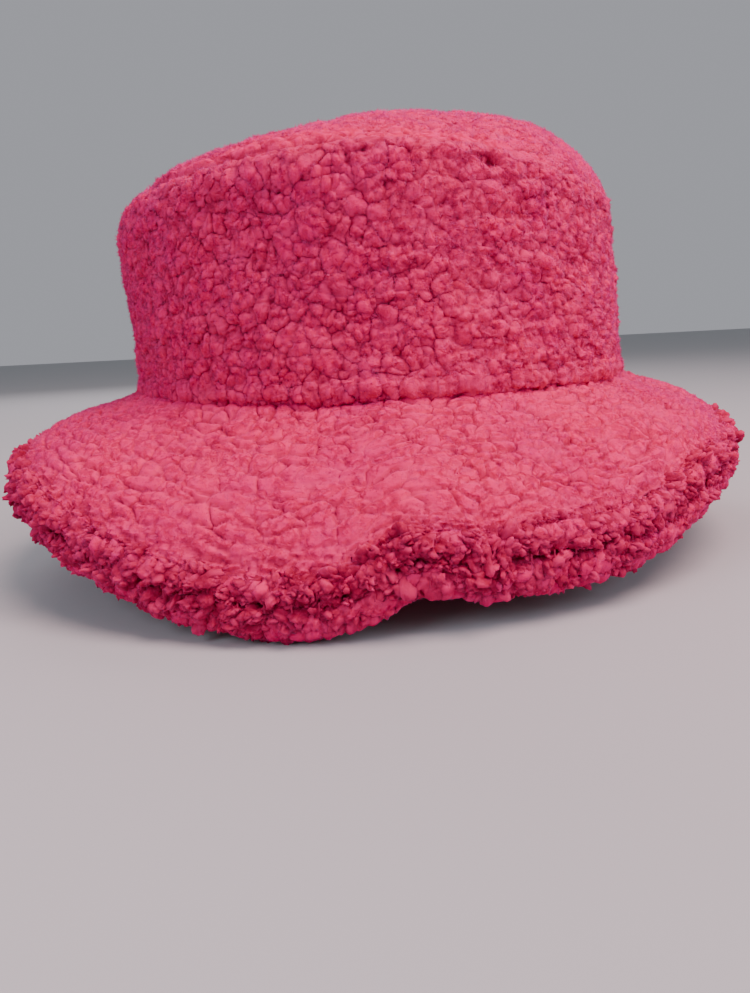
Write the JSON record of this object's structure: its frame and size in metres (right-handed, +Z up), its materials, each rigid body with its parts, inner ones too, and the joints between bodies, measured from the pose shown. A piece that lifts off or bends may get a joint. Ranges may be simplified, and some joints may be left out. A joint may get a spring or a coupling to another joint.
{
  "type": "bucket hat",
  "caption": "Soft bucket hat in curly-pile fleece, with a round tip, upright side band, wavy double-layer brim, satin lining and sweatband.",
  "frame": {"origin": "on the surface it stands on, under the middle of the brim, level with the brim's lowest lips", "axes": "+Z up the axis of the crown, -Y out of the front, +X to the wearer's left"},
  "size_m": [0.3011, 0.3008, 0.1698],
  "materials": {
    "fleece": "curly sherpa pile, matte",
    "interlining": "stiff woven canvas",
    "lining": "satin",
    "sweatband": "ribbed grosgrain",
    "label": "blank woven satin",
    "thread": "twisted polyester thread"
  },
  "bodies": {
    "hat": {"crown_tip": "fleece", "crown_side_front": "fleece", "crown_side_back": "fleece", "brim_upper_front": "fleece", "brim_upper_back": "fleece", "brim_under_front": "fleece", "brim_under_back": "fleece", "brim_interlining_front": "interlining", "brim_interlining_back": "interlining", "lining_side": "lining", "lining_tip": "lining", "sweatband": "sweatband", "tip_seam_stitching": "thread", "brim_seam_stitching": "thread", "side_seam_stitching": "thread", "lip_stitching": "thread", "lining_stitching": "thread", "sweatband_stitching": "thread"},
    "label": {"care_label": "label"}
  },
  "joints": [
    {"name": "label_flip", "type": "hinge", "parent": "hat", "child": "label", "pos_m": [0, 0.0909, 0.10693], "axis": [0, 0, 1], "range_deg": [0, 150]}
  ]
}
